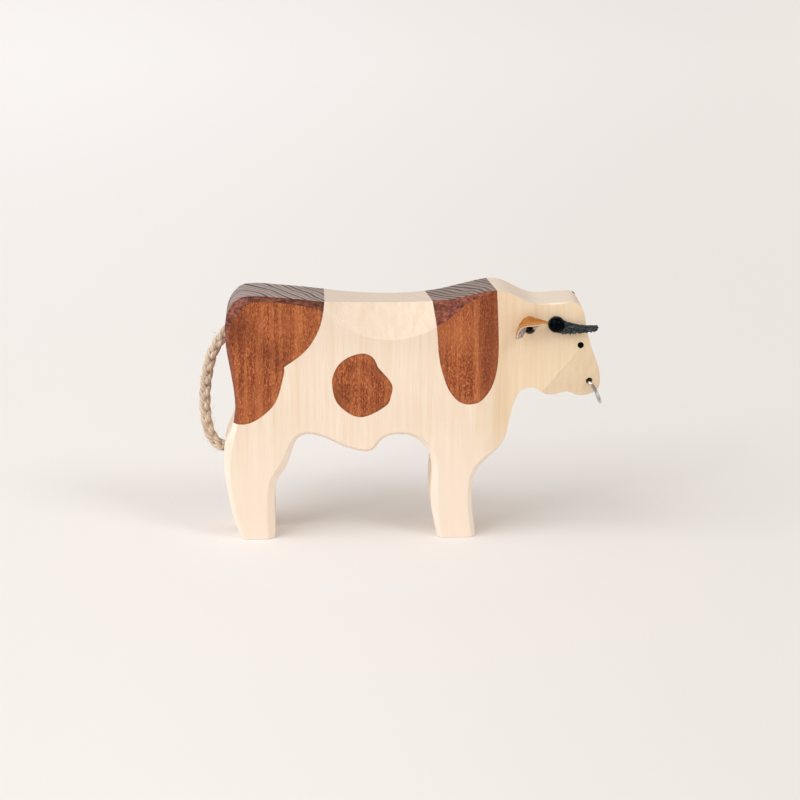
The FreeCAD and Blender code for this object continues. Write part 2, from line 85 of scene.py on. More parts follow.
def noisy(tree, vector, scale, detail, roughness=0.5):
    """A cloudy pattern of grey levels along a vector."""
    return add(tree, "ShaderNodeTexNoise", {"Vector": vector, "Scale": scale, "Detail": detail,
                                            "Roughness": roughness}).outputs["Fac"]


def new_tree(name, sizes):
    """A geometry node tree with one named input for each size."""
    tree = bpy.data.node_groups.new(name, "GeometryNodeTree")
    tree.interface.new_socket("Geometry", in_out="INPUT", socket_type="NodeSocketGeometry")
    for size in sizes:
        tree.interface.new_socket(size, in_out="INPUT", socket_type="NodeSocketFloat")
    tree.interface.new_socket("Geometry", in_out="OUTPUT", socket_type="NodeSocketGeometry")
    return tree, tree.nodes.new("NodeGroupInput").outputs


def grown(name, base_mesh, tree, sizes):
    """The tree's result on a base mesh, as a plain mesh object."""
    base = bpy.data.objects.new(name + "_base", base_mesh)
    scene.collection.objects.link(base)
    modifier = base.modifiers.new("grow", "NODES")
    modifier.node_group = tree
    for item in tree.interface.items_tree:
        if item.in_out == "INPUT" and item.name in sizes:
            modifier[item.identifier] = sizes[item.name]
    shown = base.evaluated_get(bpy.context.evaluated_depsgraph_get())
    made = bpy.data.objects.new(name, bpy.data.meshes.new_from_object(shown))
    scene.collection.objects.link(made)
    base.modifiers.clear()
    bpy.data.objects.remove(base)
    return made


def new_material(name, **sockets):
    """A material and its principled shader, with plain values on the shader's own sockets."""
    material = bpy.data.materials.new(name)
    material.use_nodes = True
    shader = material.node_tree.nodes["Principled BSDF"]
    for socket, value in sockets.items():
        shader.inputs[socket.replace("_", " ")].default_value = value
    return material, material.node_tree, shader


def ramp(tree, factor, *stops):
    """Colours or grey levels at positions along a factor."""
    made = add(tree, "ShaderNodeValToRGB", {"Fac": factor})
    elements = made.color_ramp.elements
    while len(elements) < len(stops):
        elements.new(0.5)
    for element, (position, colour) in zip(elements, stops):
        element.position = position
        element.color = (*colour, 1.0) if isinstance(colour, tuple) else (colour, colour, colour, 1.0)
    return made.outputs["Color"]


def blend(tree, factor, a, b, kind="MIX"):
    """Two colours mixed by a factor."""
    made = add(tree, "ShaderNodeMix", data_type="RGBA", blend_type=kind)
    for socket, value in zip((made.inputs[0], made.inputs[6], made.inputs[7]), (factor, a, b)):
        if isinstance(value, bpy.types.NodeSocket):
            tree.links.new(value, socket)
        elif isinstance(value, tuple):
            socket.default_value = (*value, 1.0)
        else:
            socket.default_value = value
    return made.outputs[2]


def bumped(tree, shader, height, strength, distance):
    """A bump on the shader from a height."""
    bump = add(tree, "ShaderNodeBump", {"Height": height, "Strength": strength, "Distance": distance})
    tree.links.new(bump.outputs[0], shader.inputs["Normal"])


hemp, tree, shader = new_material("hemp", Roughness=0.85, Sheen_Weight=0.25, Sheen_Roughness=0.5)
PLIES, PLY_TWIST, FIBRE_TWIST, FIBRE_STRETCH, PATCH_SCALE = 4.0, 3.2, 0.9, 0.16, 260.0
# In metres from the cord's middle line: where the painted shade in the hollows is darkest, and where it
# ends.
DEEPEST, OUTERMOST = 0.0007, 0.0016
along = add(tree, "ShaderNodeAttribute", attribute_name="along").outputs["Fac"]
hollow = add(tree, "ShaderNodeAttribute", attribute_name="hollow").outputs["Fac"]
rounds = add(tree, "ShaderNodeAttribute", attribute_name="round").outputs["Vector"]
twisted = add(tree, "ShaderNodeVectorRotate",
              {"Vector": rounds, "Angle": calc(tree, "MULTIPLY", along, FIBRE_TWIST)},
              rotation_type="Z_AXIS").outputs[0]
stretched = add(tree, "ShaderNodeCombineXYZ", {"Z": calc(tree, "MULTIPLY", along, FIBRE_STRETCH)})
fibres = noisy(tree, vcalc(tree, "ADD", twisted, stretched.outputs[0]), 5.0, 5.0, 0.65)
patches = noisy(tree, add(tree, "ShaderNodeTexCoord").outputs["Object"], PATCH_SCALE, 2.0)
around = add(tree, "ShaderNodeSeparateXYZ", {"Vector": rounds}).outputs
lay = calc(tree, "MULTIPLY_ADD", calc(tree, "ARCTAN2", around["Y"], around["X"]), PLIES,
           calc(tree, "MULTIPLY", along, PLY_TWIST))
plies = calc(tree, "ABSOLUTE", calc(tree, "SINE", calc(tree, "MULTIPLY", lay, 0.5)))
yarn = ramp(tree, fibres, (0.30, (0.38, 0.24, 0.15)), (0.45, (0.74, 0.56, 0.40)),
            (0.57, (0.93, 0.78, 0.61)), (0.68, (1.0, 0.93, 0.80)))
# Painted shade: the yarn is painted darker in the grooves between its plies.
yarn = blend(tree, ramp(tree, plies, (0.0, 0.8), (0.30, 0.0)), yarn, (0.36, 0.225, 0.14))
yarn = blend(tree, ramp(tree, patches, (0.40, 0.0), (0.70, 0.40)), yarn, (0.52, 0.34, 0.215))
# Painted shade: the yarn is painted dark where the strands dip in towards the cord's middle, in the
# hollows between them.
depth = add(tree, "ShaderNodeMapRange",
            {"Value": hollow, "From Min": DEEPEST, "From Max": OUTERMOST}).outputs[0]
yarn = blend(tree, depth, (0.13, 0.075, 0.046), yarn)
tree.links.new(yarn, shader.inputs["Base Color"])
bumped(tree, shader, calc(tree, "MULTIPLY_ADD", plies, 0.8, fibres), 0.9, 0.0004)

TAIL_ROUTE = [(-0.0657, 0.0809), (-0.0734, 0.0718), (-0.0762, 0.0641), (-0.0779, 0.0527),
              (-0.0776, 0.0433), (-0.0757, 0.0356), (-0.0702, 0.0314), (-0.0642, 0.0315)]
tail_curve = bpy.data.curves.new("tail_line", "CURVE")
tail_curve.dimensions = "3D"
tail_curve.resolution_u = 24
tail_spline = tail_curve.splines.new("NURBS")
tail_spline.points.add(len(TAIL_ROUTE) - 1)
for point, (x, z) in zip(tail_spline.points, TAIL_ROUTE):
    point.co = (x, 0.0, z, 1.0)
tail_spline.order_u = 3
tail_spline.use_endpoint_u = True
tail_line = bpy.data.objects.new("tail_line", tail_curve)
scene.collection.objects.link(tail_line)
tail_mesh = bpy.data.meshes.new_from_object(tail_line)
bpy.data.objects.remove(tail_line)

plait, given = new_tree("plait", ("Strand Radius", "Side Swing", "Depth Swing", "Period"))
centre = add(plait, "GeometryNodeResampleCurve",
             {"Curve": add(plait, "GeometryNodeMeshToCurve", {"Mesh": given["Geometry"]}).outputs[0],
              "Count": 300}).outputs[0]
strands = add(plait, "GeometryNodeDuplicateElements", {"Geometry": centre, "Amount": 3}, domain="SPLINE")
length = add(plait, "GeometryNodeSplineParameter").outputs["Length"]
turns = calc(plait, "ADD", calc(plait, "DIVIDE", length, given["Period"]),
             calc(plait, "DIVIDE", strands.outputs["Duplicate Index"], 3.0))
phase = calc(plait, "MULTIPLY", turns, math.tau)
tangent = add(plait, "GeometryNodeInputTangent").outputs[0]
across = vcalc(plait, "NORMALIZE", vcalc(plait, "CROSS_PRODUCT", tangent, (0.0, 1.0, 0.0)))
swing = calc(plait, "MULTIPLY", given["Side Swing"], calc(plait, "SINE", phase))
double_phase = calc(plait, "MULTIPLY", phase, 2.0)
inward = calc(plait, "MULTIPLY", given["Depth Swing"], calc(plait, "SINE", double_phase))
offset = vcalc(plait, "ADD", vcalc(plait, "SCALE", across, swing),
               add(plait, "ShaderNodeCombineXYZ", {"Y": inward}).outputs[0])
lines = add(plait, "GeometryNodeStoreNamedAttribute",
            {"Geometry": strands.outputs[0], "Name": "along",
             "Value": calc(plait, "MULTIPLY", length, 1000.0)})
lines = add(plait, "GeometryNodeSetPosition", {"Geometry": lines.outputs[0], "Offset": offset}).outputs[0]
circle = add(plait, "GeometryNodeCurvePrimitiveCircle",
             {"Resolution": 16, "Radius": given["Strand Radius"]})
where = add(plait, "GeometryNodeInputPosition").outputs[0]
circle = add(plait, "GeometryNodeStoreNamedAttribute",
             {"Geometry": circle.outputs[0], "Name": "round",
              "Value": vcalc(plait, "SCALE", where, calc(plait, "DIVIDE", 1.0, given["Strand Radius"]))},
             data_type="FLOAT_VECTOR")
tubes = add(plait, "GeometryNodeCurveToMesh",
            {"Curve": lines, "Profile Curve": circle.outputs[0], "Fill Caps": True})
near = add(plait, "GeometryNodeProximity", {"Geometry": given["Geometry"]}, target_element="EDGES")
tubes = add(plait, "GeometryNodeStoreNamedAttribute",
            {"Geometry": tubes.outputs[0], "Name": "hollow", "Value": near.outputs["Distance"]})
tubes = add(plait, "GeometryNodeRealizeInstances", {"Geometry": tubes.outputs[0]})
tubes = add(plait, "GeometryNodeSetMaterial", {"Geometry": tubes.outputs[0], "Material": hemp})
add(plait, "NodeGroupOutput", {"Geometry": tubes.outputs[0]})
tail = grown("plaited_tail", tail_mesh, plait,
             {"Strand Radius": 0.00124, "Side Swing": 0.00092, "Depth Swing": 0.00068, "Period": 0.0150})

hairs, given = new_tree("hairs", ("Hair Length", "Hair Radius", "Density"))
spots = add(hairs, "GeometryNodeDistributePointsOnFaces",
            {"Mesh": given["Geometry"], "Density": given["Density"], "Seed": 4})
# How a loose fibre bows out of the yarn, as shares of its length.
knee = vcalc(hairs, "SCALE", (0.4, 0.0, 0.25), given["Hair Length"])
tip = vcalc(hairs, "SCALE", (0.9, 0.0, 0.22), given["Hair Length"])
hair = add(hairs, "GeometryNodeCurveQuadraticBezier", {"Resolution": 8, "Start": (0.0, 0.0, -0.0001),
                                                       "Middle": knee, "End": tip}).outputs[0]
circle = add(hairs, "GeometryNodeCurvePrimitiveCircle",
             {"Resolution": 4, "Radius": given["Hair Radius"]}).outputs[0]
hair = add(hairs, "GeometryNodeCurveToMesh",
           {"Curve": hair, "Profile Curve": circle, "Fill Caps": True})
spin = add(hairs, "FunctionNodeRandomValue",
           {"Min": (0.0, 0.0, 0.0), "Max": (0.0, 0.0, math.tau), "Seed": 9}, data_type="FLOAT_VECTOR")
turned = add(hairs, "FunctionNodeRotateRotation", {"Rotation": spots.outputs["Rotation"],
                                                   "Rotate By": spin.outputs[0]}, rotation_space="LOCAL")
# The third and fourth inputs are the least and the greatest share of a fibre's full size.
sizes = add(hairs, "FunctionNodeRandomValue", {2: 0.45, 3: 1.2, "Seed": 2})
hair = add(hairs, "GeometryNodeInstanceOnPoints",
           {"Points": spots.outputs[0], "Instance": hair.outputs[0], "Rotation": turned.outputs[0],
            "Scale": sizes.outputs[1]})
hair = add(hairs, "GeometryNodeRealizeInstances", {"Geometry": hair.outputs[0]})
hair = add(hairs, "GeometryNodeSetMaterial", {"Geometry": hair.outputs[0], "Material": hemp})
add(hairs, "NodeGroupOutput", {"Geometry": hair.outputs[0]})
tail_fibres = grown("tail_fibres", tail.data, hairs,
                    {"Hair Length": 0.0034, "Hair Radius": 0.00003, "Density": 80000.0})
for piece in (tail, tail_fibres):
    piece.data.shade_smooth()
    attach(piece, "bull")
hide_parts("tail_rope")


# Wooden body: one piece of pale pine board, grain upright, sawn out and knife-bevelled. Its
# arrises are rubbed round, and the brown patches are a thin stain that lets the grain through.
def mapped(tree, vector, scale):
    """A vector stretched along its axes."""
    return add(tree, "ShaderNodeMapping", {"Vector": vector, "Scale": scale}).outputs[0]


def millimetres(tree):
    """A piece's own coordinates, in millimetres."""
    return mapped(tree, add(tree, "ShaderNodeTexCoord").outputs["Object"], (1000.0, 1000.0, 1000.0))


def soft_step(tree, value, low, high):
    """0 below low and 1 above high, smooth between."""
    made = add(tree, "ShaderNodeMapRange", {"Value": value, "From Min": low, "From Max": high},
               interpolation_type="SMOOTHSTEP")
    return made.outputs[0]


def fade(tree, value, low, high):
    """1 below low and 0 above high, smooth between."""
    return calc(tree, "SUBTRACT", 1.0, soft_step(tree, value, low, high))


def belt(tree, value, low, full, fading, high):
    """1 from full to fading and 0 outside low and high, smooth between."""
    return calc(tree, "MULTIPLY", soft_step(tree, value, low, full), fade(tree, value, fading, high))


def rounded(outline):
    """An outline with more points on a smooth line through its own; marked points stay sharp."""
    points, count = [], len(outline)
    for i in range(count):
        before, here, there, after = (Vector(outline[(i + k) % count][:2]) for k in (-1, 0, 1, 2))
        leave = there - here if len(outline[i]) > 2 else (there - before) / 2.0
        arrive = there - here if len(outline[(i + 1) % count]) > 2 else (after - here) / 2.0
        for t in (k / 8.0 for k in range(8)):
            points.append((2 * t ** 3 - 3 * t ** 2 + 1) * here + (t ** 3 - 2 * t ** 2 + t) * leave
                          + (3 * t ** 2 - 2 * t ** 3) * there + (t ** 3 - t ** 2) * arrive)
    return points


def blot(tree, x, z, centre, outline, wobble):
    """How many millimetres inside a hand-painted outline each point lies."""
    dx, dz = calc(tree, "SUBTRACT", x, centre[0]), calc(tree, "SUBTRACT", z, centre[1])
    angle = calc(tree, "ARCTAN2", dz, dx)
    share = calc(tree, "ADD", calc(tree, "DIVIDE", angle, math.tau), 0.5)
    polar = []
    for px, pz in rounded(outline):
        px, pz = px - centre[0], pz - centre[1]
        polar.append((math.atan2(pz, px) / math.tau + 0.5, math.hypot(px, pz)))
    polar.sort()
    widest = max(radius for _, radius in polar)
    lap = polar[-1][0] - 1.0, polar[0][0] + 1.0
    seam = polar[-1][1] + (polar[0][1] - polar[-1][1]) * lap[0] / (lap[0] - polar[0][0])
    polar = [(0.0, seam)] + polar + [(1.0, seam)]
    curve = add(tree, "ShaderNodeFloatCurve", {"Value": share})
    points = curve.mapping.curves[0].points
    while len(points) < len(polar):
        points.new(0.5, 0.5)
    for point, (at, radius) in zip(points, polar):
        point.location = (at, radius / widest)
        point.handle_type = "VECTOR"
    curve.mapping.update()
    edge = calc(tree, "MULTIPLY", curve.outputs[0], widest)
    squares = calc(tree, "MULTIPLY", dx, dx), calc(tree, "MULTIPLY", dz, dz)
    reach = calc(tree, "SQRT", calc(tree, "ADD", *squares))
    return calc(tree, "ADD", calc(tree, "SUBTRACT", edge, reach), wobble)


wood, tree, shader = new_material("stained_pine", Specular_IOR_Level=0.22)
spot = millimetres(tree)
xyz = add(tree, "ShaderNodeSeparateXYZ", {"Vector": spot}).outputs
normal = add(tree, "ShaderNodeTexCoord").outputs["Normal"]
facing = add(tree, "ShaderNodeSeparateXYZ", {"Vector": normal}).outputs
# How far a face looks sideways tells the flat sides from the bevels, and how far it looks up or
# down tells the end grain.
FLAT_SIDE, BEVEL, OFF_SIDE, END_UP = (0.93, 0.985), (0.25, 0.45, 0.74, 0.84), (0.25, 0.5), (0.25, 0.65)
to_side, upward = calc(tree, "ABSOLUTE", facing["Y"]), calc(tree, "ABSOLUTE", facing["Z"])
side_face = soft_step(tree, to_side, *FLAT_SIDE)
end_grain = calc(tree, "MULTIPLY", soft_step(tree, upward, *END_UP), fade(tree, to_side, *OFF_SIDE))

# The growth rings, in millimetres: which way they run across the board, one year, and their warp.
RING_RUN, YEAR_GROWTH, RING_WARP = (0.85, 0.53), 2.25, 14.0
warp = noisy(tree, mapped(tree, spot, (0.03, 0.03, 0.006)), 1.0, 2.0)
rings = calc(tree, "MULTIPLY_ADD", xyz["X"], RING_RUN[0], calc(tree, "MULTIPLY", xyz["Y"], RING_RUN[1]))
rings = calc(tree, "DIVIDE", calc(tree, "MULTIPLY_ADD", warp, RING_WARP, rings), YEAR_GROWTH)
year = calc(tree, "FLOOR", rings)
vigour = add(tree, "ShaderNodeTexWhiteNoise", {"W": year}, noise_dimensions="1D").outputs["Value"]
late_wood = ramp(tree, calc(tree, "FRACT", rings), (0.0, 0.0), (0.40, 0.10), (0.78, 1.0), (0.90, 0.9),
                 (1.0, 0.0))
late_wood = calc(tree, "MULTIPLY", late_wood, calc(tree, "MULTIPLY_ADD", vigour, 0.75, 0.25))
fine = noisy(tree, mapped(tree, spot, (2.6, 2.6, 0.10)), 1.0, 4.0, 0.6)
streaks = noisy(tree, mapped(tree, spot, (0.55, 0.55, 0.018)), 1.0, 3.0)
mottle = noisy(tree, mapped(tree, spot, (2.6, 2.6, 1.0)), 1.0, 4.0, 0.75)
cloud = noisy(tree, mapped(tree, spot, (0.09, 0.09, 0.045)), 1.0, 2.0)

# The stretches over which the bare wood's colour changes and light and shade are painted on it, in
# millimetres along x or z.
HEAD_X, NECK_SHADE_X, BACK_END_X = (18.0, 38.0), (27.0, 32.0, 33.0, 36.8), (26.0, 30.0)
BOUNCE_LIGHT_Z, BACK_Z, SADDLE_SHADE_Z = (15.0, 50.0), (60.0, 66.0), (64.0, 82.0)
bare = ramp(tree, streaks, (0.34, (0.925, 0.785, 0.64)), (0.52, (0.90, 0.75, 0.605)),
            (0.68, (0.86, 0.70, 0.53)))
bare = blend(tree, calc(tree, "MULTIPLY", late_wood, 0.14), bare, (0.82, 0.60, 0.41))
bare = blend(tree, ramp(tree, fine, (0.49, 0.0), (0.66, 0.25)), bare, (0.78, 0.55, 0.36))
bare = blend(tree, ramp(tree, cloud, (0.40, 0.0), (0.65, 0.22)), bare, (0.84, 0.65, 0.49))
# The head is painted a little darker and yellower: partly the wood's own warmer tone, partly painted
# shade where the light falls off towards the head. The band across the chest and neck is painted shade.
bare = blend(tree, soft_step(tree, xyz["X"], *HEAD_X), bare, (0.965, 0.925, 0.805), "MULTIPLY")
bare = blend(tree, belt(tree, xyz["X"], *NECK_SHADE_X), bare, (0.965, 0.93, 0.885), "MULTIPLY")
# Painted light: the legs are painted paler towards the table, standing in for light thrown up from it.
legs = calc(tree, "MULTIPLY", fade(tree, xyz["Z"], *BOUNCE_LIGHT_Z), 0.8)
bare = blend(tree, legs, bare, (0.93, 0.785, 0.65))
on_back = calc(tree, "MULTIPLY", soft_step(tree, xyz["Z"], *BACK_Z), fade(tree, xyz["X"], *BACK_END_X))
bevels = calc(tree, "MULTIPLY", belt(tree, to_side, *BEVEL), 0.6)
bevels = calc(tree, "MULTIPLY", bevels, calc(tree, "SUBTRACT", 1.0, on_back))
bare = blend(tree, bevels, bare, (0.97, 0.855, 0.745))
# The bare end grain is painted darker and greyer: partly its own tone, partly painted shade on the tops,
# which face away from the front light.
end_wood_and_shade = blend(tree, calc(tree, "MULTIPLY", late_wood, 0.3), (0.76, 0.645, 0.535), (0.58, 0.46, 0.37))
bare = blend(tree, end_grain, bare, end_wood_and_shade)
# Painted shade: the upturned saddle hollow on the back is painted a little darker, in plain grey.
saddle_shade = calc(tree, "MULTIPLY", soft_step(tree, xyz["Z"], *SADDLE_SHADE_Z), on_back)
bare = blend(tree, saddle_shade, bare, (0.935, 0.93, 0.935), "MULTIPLY")

# The stain's outlines, as (x, z) on the right side; a third value marks a notch.
RUMP = [(-33.0, 99.0), (-33.0, 90.7), (-34.5, 81.9), (-37.7, 75.1), (-41.8, 70.4), (-48.0, 65.9, 1),
        (-48.3, 62.5), (-51.8, 51.9), (-59.6, 45.3), (-66.7, 44.5), (-76.0, 47.0), (-90.0, 62.0),
        (-95.0, 80.0), (-88.0, 99.0), (-62.0, 104.0)]
SPOT = [(-19.7, 70.8), (-24.9, 69.2), (-28.8, 65.5), (-30.5, 59.7), (-28.3, 51.7), (-20.3, 46.7),
        (-11.0, 50.7), (-8.7, 55.2), (-8.7, 59.5), (-13.6, 65.6, 1), (-14.9, 68.5), (-16.6, 70.1)]
SHOULDER = [(6.7, 96.0), (6.9, 90.7), (8.0, 80.4), (8.7, 70.8), (9.5, 65.7), (10.5, 62.0),
            (12.4, 56.9), (15.8, 52.6), (19.7, 51.2), (24.2, 52.3), (28.1, 56.7), (30.2, 62.5),
            (31.0, 69.0), (31.0, 77.4), (30.7, 85.6), (30.3, 94.0), (30.0, 100.0), (18.0, 106.0)]
# Each patch as (outline, its middle, its shift on the far side as (x, z), its slant over the back).
PATCHES = [(RUMP, (-62.0, 76.0), (5.0, -7.0), 0.0), (SHOULDER, (19.0, 75.0), (0.0, 6.0), 0.105),
           (SPOT, (-19.0, 58.8), (9.0, 5.0), 0.0)]
FAR_Y, ROUND_BACK_Z, NEAR_SIDE_Y, FAR_OUTSIDE = (-2.0, 13.0), (66.0, 84.0), -14.0, -1000.0
BORDER = (-0.12, 0.12)
far = calc(tree, "MULTIPLY", soft_step(tree, xyz["Y"], *FAR_Y), fade(tree, xyz["Z"], *ROUND_BACK_Z))
past = calc(tree, "SUBTRACT", xyz["Y"], NEAR_SIDE_Y)
wobble = calc(tree, "MULTIPLY", calc(tree, "SUBTRACT", mottle, 0.5), 0.5)
inside = FAR_OUTSIDE
for outline, centre, shift, slant in PATCHES:
    slanted = calc(tree, "MULTIPLY_ADD", past, slant, xyz["X"])
    patch_x = calc(tree, "MULTIPLY_ADD", far, shift[0], slanted)
    patch_z = calc(tree, "MULTIPLY_ADD", far, shift[1], xyz["Z"])
    inside = calc(tree, "MAXIMUM", inside, blot(tree, patch_x, patch_z, centre, outline, wobble))
stained = soft_step(tree, inside, *BORDER)

# Where the stain pooled darker or was rubbed paler, as (x, z, reach, strength, colour).
DEEP, THIN = (0.14, 0.026, 0.009), (0.55, 0.18, 0.060)
POOLS = [(-65.0, 80.0, 11.0, 0.6, DEEP), (-54.0, 71.0, 7.0, 0.5, DEEP), (-49.5, 67.0, 5.0, 0.35, DEEP),
         (-14.5, 65.0, 7.0, 0.4, DEEP), (-28.0, 55.0, 7.0, 0.55, DEEP), (-13.0, 50.0, 6.0, 0.4, DEEP),
         (-44.0, 82.0, 13.0, 0.30, THIN), (-60.0, 52.0, 9.0, 0.3, THIN), (-21.0, 62.0, 5.0, 0.3, THIN),
         (16.0, 78.0, 14.0, 0.5, THIN)]
stain = ramp(tree, mottle, (0.38, (0.15, 0.026, 0.007)), (0.47, (0.30, 0.066, 0.018)),
             (0.55, (0.46, 0.128, 0.038)), (0.65, (0.68, 0.26, 0.10)))
stain = blend(tree, ramp(tree, fine, (0.38, 0.55), (0.50, 0.0)), stain, (0.16, 0.030, 0.009))
stain = blend(tree, ramp(tree, streaks, (0.40, 0.28), (0.50, 0.0)), stain, (0.20, 0.042, 0.014))
stain = blend(tree, ramp(tree, streaks, (0.50, 0.0), (0.62, 0.40)), stain, THIN)
for px, pz, reach, strength, colour in POOLS:
    away = add(tree, "ShaderNodeCombineXYZ", {"X": calc(tree, "SUBTRACT", xyz["X"], px),
                                              "Z": calc(tree, "SUBTRACT", xyz["Z"], pz)}).outputs[0]
    pool = fade(tree, vcalc(tree, "LENGTH", away), 0.0, reach)
    stain = blend(tree, calc(tree, "MULTIPLY", pool, strength), stain, colour)

# The stretches over which the stain changes and light and shade are painted on its cuts, in millimetres
# along x or z or in from its border.
DARK_BAND_X, PALE_LINE_X = (23.8, 26.5), (22.0, 22.7, 23.2, 24.2)
PALE_BORDER, DARK_RIM = (0.25, 0.9, 1.4, 3.4), (0.1, 0.5)
REAR_END_X, BACK_X, SHOULDER_X, LOW_REAR_Z = (-68.0, -58.0), (-25.0, 0.0), (-10.0, 5.0), (66.0, 82.0)
grain_x = calc(tree, "MULTIPLY_ADD", warp, 1.5, xyz["X"])
dark_band = calc(tree, "MULTIPLY", soft_step(tree, grain_x, *DARK_BAND_X), 0.40)
stain = blend(tree, dark_band, stain, (0.18, 0.038, 0.013))
pale_line = calc(tree, "MULTIPLY", belt(tree, grain_x, *PALE_LINE_X), 0.22)
stain = blend(tree, pale_line, stain, THIN)
pale_border = calc(tree, "MULTIPLY", belt(tree, inside, *PALE_BORDER), 0.22)
stain = blend(tree, pale_border, stain, (0.54, 0.18, 0.06))
dark_rim = calc(tree, "MULTIPLY", fade(tree, inside, *DARK_RIM), 0.2)
stain = blend(tree, dark_rim, stain, (0.19, 0.04, 0.014))
knife_marks = noisy(tree, mapped(tree, spot, (0.5, 0.5, 0.8)), 1.0, 3.0)
cut_mix = calc(tree, "MULTIPLY", calc(tree, "ADD", mottle, knife_marks), 0.5)
cut_stain = ramp(tree, cut_mix, (0.40, (0.060, 0.014, 0.008)), (0.50, (0.160, 0.040, 0.022)),
                 (0.60, (0.30, 0.100, 0.062)))
# Painted light on the stained cuts: the rear end's chamfer, which faces the key light, is painted lighter
# as a highlight, the cuts along the back are painted darker as shade, and those towards the shoulder are
# painted lighter again.
painted_cut_light = blend(tree, soft_step(tree, xyz["X"], *REAR_END_X), (1.2, 1.24, 1.28), (0.76, 0.82, 0.80))
painted_cut_light = blend(tree, soft_step(tree, xyz["X"], *BACK_X), painted_cut_light, (1.20, 1.14, 1.07))
cut_stain = blend(tree, 1.0, cut_stain, painted_cut_light, "MULTIPLY")
low_rear = calc(tree, "MULTIPLY", fade(tree, xyz["Z"], *LOW_REAR_Z), 0.65)
cut_stain = blend(tree, low_rear, cut_stain, (0.31, 0.088, 0.042))
stain = blend(tree, side_face, cut_stain, stain)
# The stained end grain is painted dark brown with its rings, and its grey cast is a painted sheen,
# standing in for the pale surround mirrored at a grazing angle.
end_stain_and_sheen = ramp(tree, calc(tree, "MULTIPLY_ADD", fine, 0.3, late_wood), (0.15, (0.42, 0.345, 0.32)),
                 (0.42, (0.25, 0.19, 0.175)), (0.70, (0.035, 0.027, 0.026)))
shoulder_brown = calc(tree, "MULTIPLY", soft_step(tree, xyz["X"], *SHOULDER_X), 0.30)
end_stain_and_sheen = blend(tree, shoulder_brown, end_stain_and_sheen, (0.13, 0.085, 0.065))
end_stain_and_sheen = blend(tree, ramp(tree, streaks, (0.45, 0.0), (0.65, 0.35)), end_stain_and_sheen, (0.24, 0.13, 0.11))
stain = blend(tree, end_grain, stain, end_stain_and_sheen)
tree.links.new(blend(tree, stained, bare, stain), shader.inputs["Base Color"])
gloss = add(tree, "ShaderNodeMapRange", {"Value": stained, "To Min": 0.62, "To Max": 0.46}).outputs[0]
tree.links.new(calc(tree, "MULTIPLY_ADD", fine, 0.08, gloss), shader.inputs["Roughness"])
relief = calc(tree, "MULTIPLY_ADD", fine, 0.5, calc(tree, "MULTIPLY", late_wood, 0.25))
bumped(tree, shader, relief, 0.25, 0.0003)


def eased(made, attempts):
    """Makes a weighted bevel narrower wherever it would fold over itself."""
    least_area, least_facing, step, near_fold = 1e-11, 0.6, 0.0004, 0.0006
    narrower, least_width = 0.55, 0.06
    ends = [[made.data.vertices[k].co.copy() for k in edge.vertices] for edge in made.data.edges]
    widths = [0.0] * len(ends)
    made.data.attributes["bevel_weight_edge"].data.foreach_get("value", widths)
    bevelled = {k for k, width in enumerate(widths) if width > 0.0}
    for _ in range(attempts):
        shown = made.evaluated_get(bpy.context.evaluated_depsgraph_get()).to_mesh()
        normals = [corner.vector.copy() for corner in shown.corner_normals]
        folds = []
        for face in shown.polygons:
            turned_most = min(normals[k].dot(face.normal) for k in face.loop_indices)
            if face.area > least_area and turned_most < least_facing:
                folds += [shown.vertices[k].co.copy() for k in face.vertices]
        shown.calc_loop_triangles()
        for part in shown.loop_triangles:
            face = shown.polygons[part.polygon_index]
            if len(face.vertices) > 4 and part.area > least_area and part.normal.dot(face.normal) < 0.0:
                corners = [shown.vertices[k].co.copy() for k in part.vertices]
                sides = corners[:2], corners[1:], corners[::2]
                folds += min(sides, key=lambda side: (side[0] - side[1]).length)
        if not folds:
            break
        nearest = kdtree.KDTree(len(folds))
        for k, point in enumerate(folds):
            nearest.insert(point, k)
        nearest.balance()
        for k, (start, end) in enumerate(ends):
            steps = max(1, int((end - start).length / step))
            if widths[k] > 0.0 and any(nearest.find(start.lerp(end, i / steps))[2] < near_fold
                                       for i in range(steps + 1)):
                widths[k] = widths[k] * narrower if widths[k] > least_width else 0.0
            if widths[k] == 0.0 and k in bevelled:
                made.data.edges[k].use_edge_sharp = True
        made.data.attributes["bevel_weight_edge"].data.foreach_set("value", widths)
        made.data.update()
        bpy.context.view_layer.update()


def merged_copy(name, node):
    """A copy of a solid under a new name, and its joined triangles ready to be worked on."""
    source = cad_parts[node].data
    mesh = bpy.data.meshes.new(name)
    mesh.from_pydata([vertex.co[:] for vertex in source.vertices], [],
                     [polygon.vertices[:] for polygon in source.polygons])
    form = bmesh.new()
    form.from_mesh(mesh)
    bmesh.ops.remove_doubles(form, verts=form.verts, dist=1e-6)
    made = bpy.data.objects.new(name, mesh)
    scene.collection.objects.link(made)
    return made, form


carved, form = merged_copy("carved_body", "wooden_body")
bmesh.ops.dissolve_limit(form, angle_limit=math.radians(0.05), verts=form.verts, edges=form.edges)
bmesh.ops.join_triangles(form, faces=form.faces, angle_face_threshold=math.radians(4),
                         angle_shape_threshold=math.radians(180))
weights = form.edges.layers.float.new("bevel_weight_edge")
# In millimetres: how wide the edges are rubbed, and where the holes and the head are, as (x, z).
ARRIS, HEAD_CHAMFER, HOLE_RIM = 0.25, 0.8, 0.12
EAR_HOLE, PIN_HOLE, EYE_SOCKET, RING_HOLE = (42.3, 79.1), (52.0, 80.7), (61.2, 72.6), (65.0, 58.1)
RIM_REACH, HEAD_FROM, HEAD_ABOVE = 3.2, 27.0, 48.0
